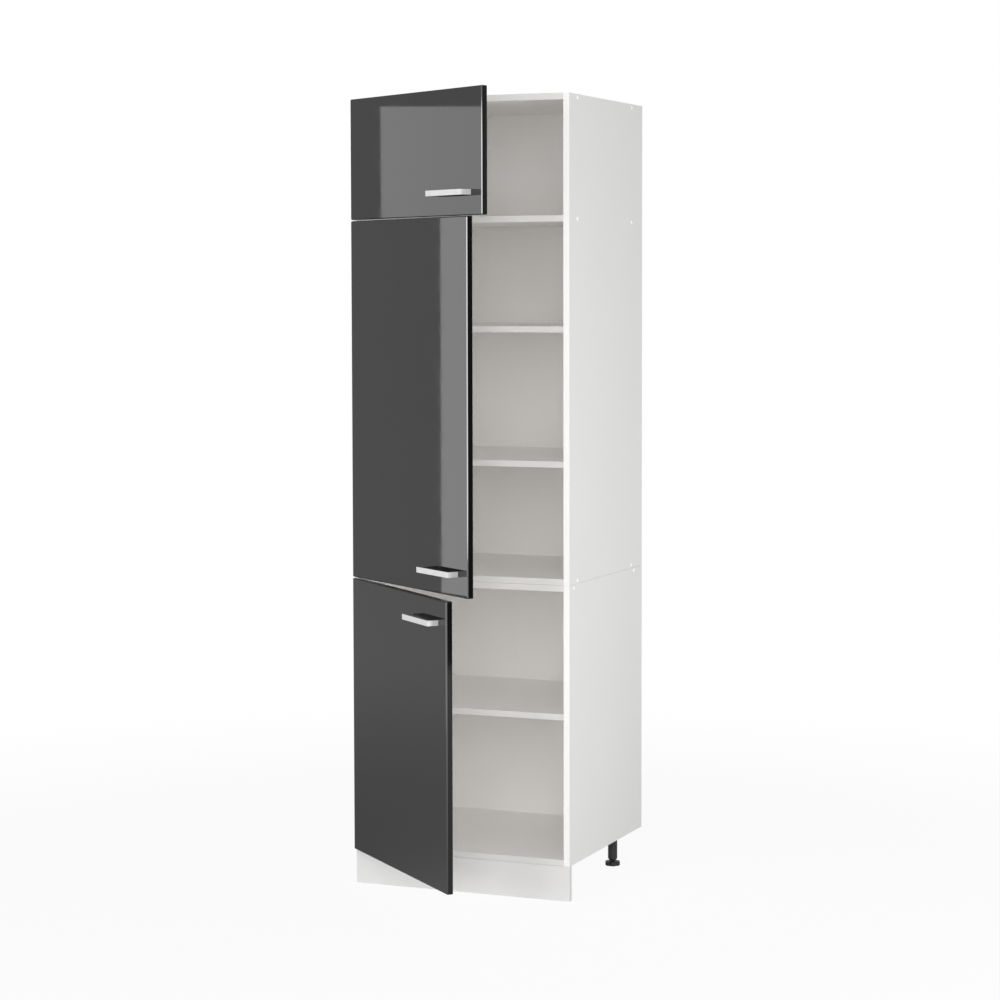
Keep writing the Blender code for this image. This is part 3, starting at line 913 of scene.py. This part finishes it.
def makeCup(label, place):
    look = cupLook
    nodeName = f"{label}_door_hinge_cup_{place}"
    body = f"{label}_front"
    turn = doorTurn(label)
    low, high = closedBox(nodeName, turn)
    centre = (low + high) / 2
    radius = (high.x - low.x) / 2
    rear = high.y - look["wingThickness"]
    name = f"{label}Cup{place.title()}"
    cup = addRod(name, (centre.x, low.y, centre.z), (centre.x, high.y, centre.z), radius, sides=64)
    wings = addBox("wingTool", (centre.x - look["wingWidth"] / 2, rear, low.z),
                   (centre.x + look["wingWidth"] / 2, high.y, high.z))
    softenEdges(wings, look["wingCorner"], steps=6, test=runsAlong(1))
    unite(cup, wings)
    cut(cup, addRod("hollowTool", (centre.x, low.y + look["wall"], centre.z),
                    (centre.x, high.y + overcut, centre.z), radius - look["wall"], sides=64))
    notchLow = (centre.x - radius * 2, high.y - look["notchDepth"], centre.z - look["notchHalf"])
    notchHigh = (centre.x, high.y + overcut, centre.z + look["notchHalf"])
    cut(cup, addBox("notchTool", notchLow, notchHigh))
    bevelByAngle(cup, look["arris"], angle=40)
    finishPiece(cup, [nickel], body, replaced=[nodeName], turn=turn)
    reach = math.sqrt((radius - look["wall"] / 2) ** 2 - look["pinOffset"] ** 2)
    pinX = centre.x + look["pinOffset"]
    pinY = closedBox(f"{label}_door", turn)[1].y
    pin = addRod(f"{label}CupPin{place.title()}", (pinX, pinY, centre.z - reach),
                 (pinX, pinY, centre.z + reach), look["pinRadius"], sides=24)
    bevelByAngle(pin, look["pinArris"])
    finishPiece(pin, [nickel], body, turn=turn)
    placeScrewPair(smallScrew, f"{name}Screw", (centre.x, high.y, centre.z), look["screwSpread"],
                   (0, 1, 0), body, turn, spin=35)


armLook = {
    "wall": 0.0012,
    "height": 0.0155,
    "plateThickness": 0.0022,
    "plateFront": 0.018,       # from the carcass front
    "plateLength": 0.038,
    "plateCorner": 0.004,
    "bend": 0.002,
    "arris": 0.0003,
    "screwSpread": 0.018,
    "topScrews": (0.024, 0.050),
}


def makeArm(label, place):
    # the stamped arm over its mounting plate on the left side board
    look = armLook
    nodeName = f"{label}_door_hinge_arm_{place}"
    low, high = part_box(nodeName)
    middleZ = (low.z + high.z) / 2
    half = look["height"] / 2
    inside = half - look["wall"]
    plateFace = low.x + look["plateThickness"]
    arm = addBox(f"{label}Arm{place.title()}", (plateFace - overlap, low.y, middleZ - half),
                 (high.x, high.y, middleZ + half))
    frontToBack = runsAlong(1)
    softenEdges(arm, look["bend"], steps=4,
                test=lambda edge: frontToBack(edge) and all(v.co.x > high.x - tiny for v in edge.verts))
    cut(arm, addBox("channelTool", (low.x - overcut, low.y - overcut, middleZ - inside),
                    (high.x - look["wall"], high.y + overcut, middleZ + inside)))
    plateStart = carcassFront + look["plateFront"]
    plate = addBox("plateTool", (low.x, plateStart, low.z),
                   (plateFace, plateStart + look["plateLength"], high.z))
    softenEdges(plate, look["plateCorner"], steps=5, test=runsAlong(0))
    unite(arm, plate)
    bevelByAngle(arm, look["arris"], angle=40)
    finishPiece(arm, [nickel], "carcass", replaced=[nodeName])
    plateMiddle = plateStart + look["plateLength"] / 2
    placeScrewPair(largeScrew, f"{label}Plate{place.title()}Screw", (plateFace, plateMiddle, middleZ),
                   look["screwSpread"], (1, 0, 0), "carcass")
    for number, setback in enumerate(look["topScrews"]):
        placeScrew(smallScrew, f"{label}Arm{place.title()}Screw{number}",
                   (high.x, carcassFront + setback, middleZ), (1, 0, 0), "carcass", spin=50)


for label in ("lower", "middle", "top"):
    makeDoor(label)
    makeHandle(label)
    for place in ("lower", "upper"):
        makeCup(label, place)
        makeArm(label, place)
        nodes[f"{label}_door_hinge_strap_{place}"].data.materials[0] = nickel
    print(label, "door ready")
for nodeName in nodes:
    if "_pin_" in nodeName:
        nodes[nodeName].data.materials[0] = nickel


# Legs and plinth

legLook = {
    "flangeHeight": 0.004,
    "flangeArris": 0.0008,
    "collarHeight": 0.009,
    "collarBendShare": 0.5,
    "collarRadius": 0.017,
    "collarFlare": 1.08,
    "tubeRadius": 0.0125,
    "tubeEnd": 0.0156,         # from the floor, just over the raised pad
    "taperWidth": 0.0027,
    "taperHeight": 0.0036,
    "spindleRadius": 0.0088,
    "boreClearance": 0.0004,
    "boreRoof": 0.02,          # left solid under the floor board
    "threadDepth": 0.0008,
    "threadPitch": 0.0018,
    "threadRise": 0.0005,
    "threadFall": 0.0014,
    "threadStop": 0.002,       # below the spindle's tip
    "tipInset": 0.0015,
    "arris": 0.0004,
    "padTop": 0.0114,
    "padRim": ((0, 0.0014), (0.0006, 0.0006), (0.0018, 0.0003)),   # in from the side, down from the top
    "padShoulder": 0.0008,
    "padLobes": 6,
    "padTurn": -67,            # degrees, as the foot in sight stands
    "padNotchRadius": 0.0044,
    "padNotchReach": 0.0208,
    "padEdge": 0.0012,
    "ribThickness": 0.002,
    "ribReach": 0.006,         # below the collar
    "ribSetback": 0.003,
}


def makeLeg(place):
    look = legLook
    name = place.title().replace("_", "")
    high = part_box(f"leg_housing_{place}")[1]
    x, y = middleOf(f"leg_housing_{place}").xy
    flange = high.x - x
    under = high.z - look["flangeHeight"]
    tube, collar = look["tubeRadius"], look["collarRadius"]
    housing = turnUp(f"legHousing{name}", (x, y), [
        (tube - look["taperWidth"], look["tubeEnd"]), (tube, look["tubeEnd"] + look["taperHeight"]),
        (tube, under - look["collarHeight"]),
        (collar, under - look["collarHeight"] * look["collarBendShare"]),
        (collar * look["collarFlare"], under), (flange, under), (flange, high.z - look["flangeArris"]),
        (flange - look["flangeArris"], high.z)], sides=64)
    ribTop, ribFoot = under + overlap, under - look["collarHeight"] - look["ribReach"]
    half, spread = look["ribThickness"] / 2, flange - look["ribSetback"]
    for long, wide in ((spread, half), (half, spread)):
        rib = addBox("ribTool", (x - long, y - wide, ribFoot), (x + long, y + wide, ribTop))
        editPick(rib, "FACE", lambda face: face.normal.z < -towards)
        shrink = tube / spread
        bpy.ops.transform.resize(value=(shrink if long > wide else 1, 1 if long > wide else shrink, 1),
                                 center_override=(x, y, ribFoot))
        leaveEdit()
        unite(housing, rib)
    bore = addRod("boreTool", (x, y, look["tubeEnd"] - overcut), (x, y, high.z - look["boreRoof"]),
                  look["spindleRadius"] + look["boreClearance"], sides=48)
    cut(housing, bore)
    finishPiece(housing, [blackPlastic], "carcass", replaced=[f"leg_housing_{place}"])
    makeFoot(place, name)


def makeFoot(place, name):
    # a lobed turning grip on a threaded spindle
    look = legLook
    low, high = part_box(f"leg_foot_{place}")
    x, y = middleOf(f"leg_foot_{place}").xy
    radius = high.x - x
    crest, valley = look["spindleRadius"], look["spindleRadius"] - look["threadDepth"]
    top = look["padTop"]
    rim = [(radius - inset, top - drop) for inset, drop in look["padRim"]]
    foot = turnUp(f"legFoot{name}", (x, y), [
        (radius - look["padEdge"], low.z), (radius, low.z + look["padEdge"]), *rim,
        (crest + look["padShoulder"], top)], sides=64)
    notches = []
    for number in range(look["padLobes"]):
        angle = 2 * math.pi * (number + 0.5) / look["padLobes"] + math.radians(look["padTurn"])
        notchX = x + look["padNotchReach"] * math.cos(angle)
        notchY = y + look["padNotchReach"] * math.sin(angle)
        notches.append(addRod("notchTool", (notchX, notchY, low.z - overcut), (notchX, notchY, top + overcut),
                              look["padNotchRadius"], sides=20))
    cut(foot, joinAll(notches))
    bevelByAngle(foot, look["arris"], angle=50)
    rings = [(valley, top - overlap * 2)]
    z = top
    while z < high.z - look["threadStop"]:
        rings += [(crest, z + look["threadRise"]), (valley, z + look["threadFall"])]
        z += look["threadPitch"]
    rings += [(crest - look["tipInset"], high.z)]
    unite(foot, turnUp("threadTool", (x, y), rings, sides=40))
    finishPiece(foot, [blackPlastic], f"foot_{place}", replaced=[f"leg_foot_{place}"],
                smoothAngle=35)


for place in ("front_left", "front_right", "rear_left", "rear_right"):
    makeLeg(place)
print("legs ready")


plinthLook = {
    "thickness": 0.016,
    "arris": 0.0006,
    "plateWidth": 0.036,
    "plateHeight": 0.040,
    "plateThickness": 0.003,
    "plateCorner": 0.003,
    "screwFromEnd": 0.006,
    "clipHeight": 0.018,
    "clipCentre": 0.050,
    "clipArris": 0.0004,
    "neckWidth": 0.012,
    "neckInset": 0.0003,
    "ringClearance": 0.0003,
    "ringWall": 0.003,
    "mouthDegrees": 100,
}


def makePlinth():
    look = plinthLook
    low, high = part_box("plinth_board")
    rear = low.y + look["thickness"]
    board = addBox("plinthPanel", low, (high.x, rear, high.z))
    softenEdges(board, look["arris"])
    finishPiece(board, [plinthFoil], "carcass", replaced=["plinth_board"])
    for hand in ("left", "right"):
        x, y = middleOf(f"leg_foot_front_{hand}").xy
        makeClip(hand, x, y, rear)


def makeClip(hand, x, legY, rear):
    # a plate on the board's back with a neck and an open ring that snaps round the leg
    look = plinthLook
    zLow, zHigh = look["clipCentre"] - look["clipHeight"] / 2, look["clipCentre"] + look["clipHeight"] / 2
    inner = legLook["tubeRadius"] + look["ringClearance"]
    outer = inner + look["ringWall"]
    ring = addRod(f"plinthClip{hand.title()}", (x, legY, zLow), (x, legY, zHigh), outer, sides=64)
    neckHalf, inset = look["neckWidth"] / 2, look["neckInset"]
    neck = addBox("neckTool", (x - neckHalf, rear + overlap * 2, zLow + inset),
                  (x + neckHalf, legY - inner - look["ringWall"] / 2, zHigh - inset))
    unite(ring, neck)
    plateHalf = look["plateHeight"] / 2
    plateRear = rear + look["plateThickness"]
    plate = addBox("plateTool", (x - look["plateWidth"] / 2, rear, look["clipCentre"] - plateHalf),
                   (x + look["plateWidth"] / 2, plateRear, look["clipCentre"] + plateHalf))
    softenEdges(plate, look["plateCorner"], steps=4, test=runsAlong(1))
    unite(ring, plate)
    cut(ring, addRod("ringTool", (x, legY, zLow - overcut), (x, legY, zHigh + overcut), inner, sides=64))
    half = math.radians(look["mouthDegrees"] / 2)
    mouthHalf = outer * math.sin(half)
    cut(ring, addBox("mouthTool", (x - mouthHalf, legY + inner * math.cos(half), zLow - overcut),
                     (x + mouthHalf, legY + outer * 2, zHigh + overcut)))
    bevelByAngle(ring, look["clipArris"], angle=50)
    finishPiece(ring, [blackPlastic], "carcass", replaced=["plinth_board"])
    placeScrewPair(smallScrew, f"clip{hand.title()}Screw", (x, plateRear, look["clipCentre"]),
                   plateHalf - look["screwFromEnd"], (0, 1, 0), "carcass")


# the plinth takes the darker plinth white: painted shade
plinthFoil = makeMelamine("plinthFoil", "plinth")
makePlinth()
bpy.data.objects.remove(smallScrew)
bpy.data.objects.remove(largeScrew)
print("plinth ready")


# Camera, floor and light

cameraLook = {
    "place": (2.6944, -6.2522, 1.5622),
    "azimuth": 22.4782,
    "elevation": -3.7036,
    "roll": -0.124,
    "focalPixels": 2655.727,   # in a picture 1000 pixels wide
    "pictureWidth": 1000,
    "sensor": 36,
    "shiftUp": -0.04,
    "farEnd": 90,
}


def makeCamera():
    look = cameraLook
    azimuth, elevation, roll = (math.radians(look[k]) for k in ("azimuth", "elevation", "roll"))
    ahead = Vector((-math.sin(azimuth) * math.cos(elevation), math.cos(azimuth) * math.cos(elevation),
                    math.sin(elevation)))
    level = Vector((math.cos(azimuth), math.sin(azimuth), 0))
    upright = level.cross(ahead)
    right = math.cos(roll) * level + math.sin(roll) * upright
    up = math.cos(roll) * upright - math.sin(roll) * level
    camera = bpy.data.objects.new("viewCamera", bpy.data.cameras.new("viewCamera"))
    bpy.context.scene.collection.objects.link(camera)
    camera.matrix_world = Matrix((
        (right.x, up.x, -ahead.x, look["place"][0]), (right.y, up.y, -ahead.y, look["place"][1]),
        (right.z, up.z, -ahead.z, look["place"][2]), (0, 0, 0, 1)))
    camera.data.sensor_width = look["sensor"]
    camera.data.lens = look["focalPixels"] / look["pictureWidth"] * look["sensor"]
    camera.data.shift_y = look["shiftUp"]
    camera.data.clip_end = look["farEnd"]
    bpy.context.scene.camera = camera


studioLook = {
    "skyLight": 0.30,
    "frontTone": 1.0,          # how white a reflection shows the room, in front and behind
    "rearTone": 0.50,
    "frontY": -0.64,
    "rearY": 0.36,
    "openingX": (0.88, 0.93),  # a dark opening to the right, for the doors' edges
    "openingY": (0.16, -0.04),
    "openingFloor": (4.6, 5.0),
    "floorSize": 44,
    "floorDrop": 0.0004,       # keeps the pads clear of the floor
    "floorColour": (0.8, 0.8, 0.8, 1),
    "floorGlow": 0.93,
    "shadowReach": (1.2, 3.4),  # the floor is plain white beyond the shadow
    "floorNearTone": 0.50,
    "floorFar": 5.0,
}

# Soft square lamps: degrees round from the front (right is plus), distance, height, size and watts
lamps = {
    "leftFrontLamp": {"azimuth": -16, "distance": 6.2, "height": 1.9, "size": 2.4, "power": 119},
    "rightFrontLamp": {"azimuth": 22, "distance": 6.2, "height": 2.6, "size": 2.6, "power": 105},
    "rightLamp": {"azimuth": 45, "distance": 5.6, "height": 1.3, "size": 2.4, "power": 35},
    "sideLamp": {"azimuth": 80, "distance": 3.4, "height": 0.8, "size": 2.0, "power": 42},
    "lowLamp": {"azimuth": 14, "distance": 4.6, "height": 0.45, "size": 1.6, "power": 20},
}
lampTarget = (0, 0, 1.05)

# Cards that only reflections show, each an upright sheet between two corners, for the named pieces
cards = {
    "doorCard": {"low": (-1.54, -1.9, 0.20), "high": (-1.54, -0.104, 2.115), "radiance": 1.6,
                 "shadow": True, "for": "DoorPanel"},
    "edgeCard": {"low": (-4.0, -4.5, 0.48), "high": (6.0, -4.5, 2.31), "radiance": 4.0,
                 "shadow": True, "for": "DoorPanel"},
    "handleCard": {"low": (-1.9, -2.6, 0.0), "high": (-1.9, 1.6, 2.6), "radiance": 0.34,
                   "shadow": False, "for": "Handle"},
    "handleEndCard": {"low": (2.9, -1.7, -0.8), "high": (2.9, 0.3, 2.4), "radiance": 0.85,
                      "shadow": False, "for": "Handle"},
}


def makeToneGroup():
    # the studio is white in front of the object, greyer behind it and dark in an opening to the right
    look = studioLook
    group, given, out = newGroup("studioTone", [
        ("Direction", "NodeSocketVector", None), ("Open", "NodeSocketFloat", 1.0)],
        [("Value", "NodeSocketFloat")])
    axes = splitAxes(group, given["Direction"])
    tone = addRange(group, axes["Y"], look["frontY"], look["rearY"], look["frontTone"], look["rearTone"])
    across = addRange(group, axes["X"], *look["openingX"], 0.0, 1.0)
    ahead = addRange(group, axes["Y"], *look["openingY"], 0.0, 1.0)
    opening = addMath(group, "MULTIPLY", addMath(group, "MULTIPLY", across, ahead), given["Open"])
    shown = addMath(group, "MULTIPLY", tone, addMath(group, "SUBTRACT", 1.0, opening))
    group.links.new(shown, out["Value"])
    return group


def addTone(tree, direction, openShare=1.0):
    return addNode(tree, "ShaderNodeGroup", {"Direction": direction, "Open": openShare},
                   node_tree=toneGroup)["Value"]


def seenDirectly(tree, path):
    # 1 for what the camera, a reflection or a see-through surface sees, 0 for what lights the object
    both = addMath(tree, "MAXIMUM", path["Is Camera Ray"], path["Is Glossy Ray"])
    return addMath(tree, "MAXIMUM", both, path["Is Transmission Ray"])


def toneInReflections(tree, path, tone):
    # 1 for the camera, the tone for a reflection
    darker = addMath(tree, "SUBTRACT", 1.0, tone)
    return addMath(tree, "SUBTRACT", 1.0, addMath(tree, "MULTIPLY", path["Is Glossy Ray"], darker))


def makeSky():
    look = studioLook
    world = bpy.data.worlds.new("studio")
    bpy.context.scene.world = world
    world.use_nodes = True
    tree = world.node_tree
    path = addNode(tree, "ShaderNodeLightPath", {})
    direction = tree.nodes.new("ShaderNodeTexCoord").outputs["Generated"]
    sky = tree.nodes["Background"]
    sky.inputs["Color"].default_value = (1, 1, 1, 1)
    level = addRange(tree, seenDirectly(tree, path), 0.0, 1.0, look["skyLight"], 1.0)
    shown = toneInReflections(tree, path, addTone(tree, direction))
    tree.links.new(addMath(tree, "MULTIPLY", level, shown), sky.inputs["Strength"])


def makeFloor():
    look = studioLook
    pickNone()
    bpy.ops.mesh.primitive_plane_add(size=look["floorSize"], location=(0, 0, -look["floorDrop"]))
    floor = nameIt("studioFloor")
    material = bpy.data.materials.new("studioFloor")
    material.use_nodes = True
    tree = material.node_tree
    tree.nodes.remove(tree.nodes["Principled BSDF"])
    path = addNode(tree, "ShaderNodeLightPath", {})
    place = tree.nodes.new("ShaderNodeTexCoord").outputs["Object"]
    outward = addNode(tree, "ShaderNodeVectorMath", {0: place}, operation="NORMALIZE")["Vector"]
    reach = addNode(tree, "ShaderNodeVectorMath", {0: place}, operation="LENGTH")["Value"]
    near = addRange(tree, reach, 0.0, look["floorFar"], look["floorNearTone"], 1.0, smooth=True)
    beyond = addRange(tree, reach, *look["openingFloor"], 0.0, 1.0)
    tone = addMath(tree, "MULTIPLY", near, addTone(tree, outward, beyond))
    paint = addNode(tree, "ShaderNodeBsdfDiffuse", {"Color": look["floorColour"]})["BSDF"]
    glow = addNode(tree, "ShaderNodeEmission", {"Strength": toneInReflections(tree, path, tone)})["Emission"]
    share = addRange(tree, reach, *look["shadowReach"], look["floorGlow"], 1.0, smooth=True)
    glowing = addMath(tree, "MULTIPLY", seenDirectly(tree, path), share)
    blend = addNode(tree, "ShaderNodeMixShader", {"Fac": glowing, 1: paint, 2: glow})
    tree.links.new(blend["Shader"], tree.nodes["Material Output"].inputs["Surface"])
    material.cycles.emission_sampling = "NONE"
    floor.data.materials.append(material)
    floor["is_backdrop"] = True


def addLamp(name, place, target, width, height, power):
    lamp = bpy.data.lights.new(name, "AREA")
    lamp.shape = "RECTANGLE"
    lamp.size = width
    lamp.size_y = height
    lamp.energy = power
    holder = bpy.data.objects.new(name, lamp)
    bpy.context.scene.collection.objects.link(holder)
    holder.location = place
    holder.rotation_euler = (Vector(target) - Vector(place)).to_track_quat("-Z", "Y").to_euler()
    holder.visible_camera = holder.visible_glossy = False
    return holder


def addCard(name, look):
    low, high = Vector(look["low"]), Vector(look["high"])
    middle = (low + high) / 2
    spread = high - low
    width = max(spread.x, spread.y)
    target = (0, middle.y, middle.z) if spread.x < tiny else (middle.x, 0, middle.z)
    card = addLamp(name, middle, target, width, spread.z, look["radiance"] * math.pi * width * spread.z)
    card.visible_diffuse, card.visible_glossy = False, True
    card.data.use_shadow = look["shadow"]
    receivers = bpy.data.collections.new(f"{name}Pieces")
    for piece in bpy.context.scene.objects:
        if piece.type == "MESH" and piece.name.endswith(look["for"]):
            receivers.objects.link(piece)
    card.light_linking.receiver_collection = receivers


def makeStudio():
    bpy.context.scene.view_settings.view_transform = "Standard"
    bpy.context.scene.cycles.diffuse_bounces = 8    # white shelves light one another
    makeSky()
    makeFloor()
    for name, lamp in lamps.items():
        azimuth = math.radians(lamp["azimuth"])
        place = (lamp["distance"] * math.sin(azimuth), -lamp["distance"] * math.cos(azimuth), lamp["height"])
        addLamp(name, place, lampTarget, lamp["size"], lamp["size"], lamp["power"])
    for name, cardLook in cards.items():
        addCard(name, cardLook)


toneGroup = makeToneGroup()
makeCamera()
makeStudio()
print("studio ready")

[list(corner) for corner in cadBounds]
[list(corner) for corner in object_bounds()]
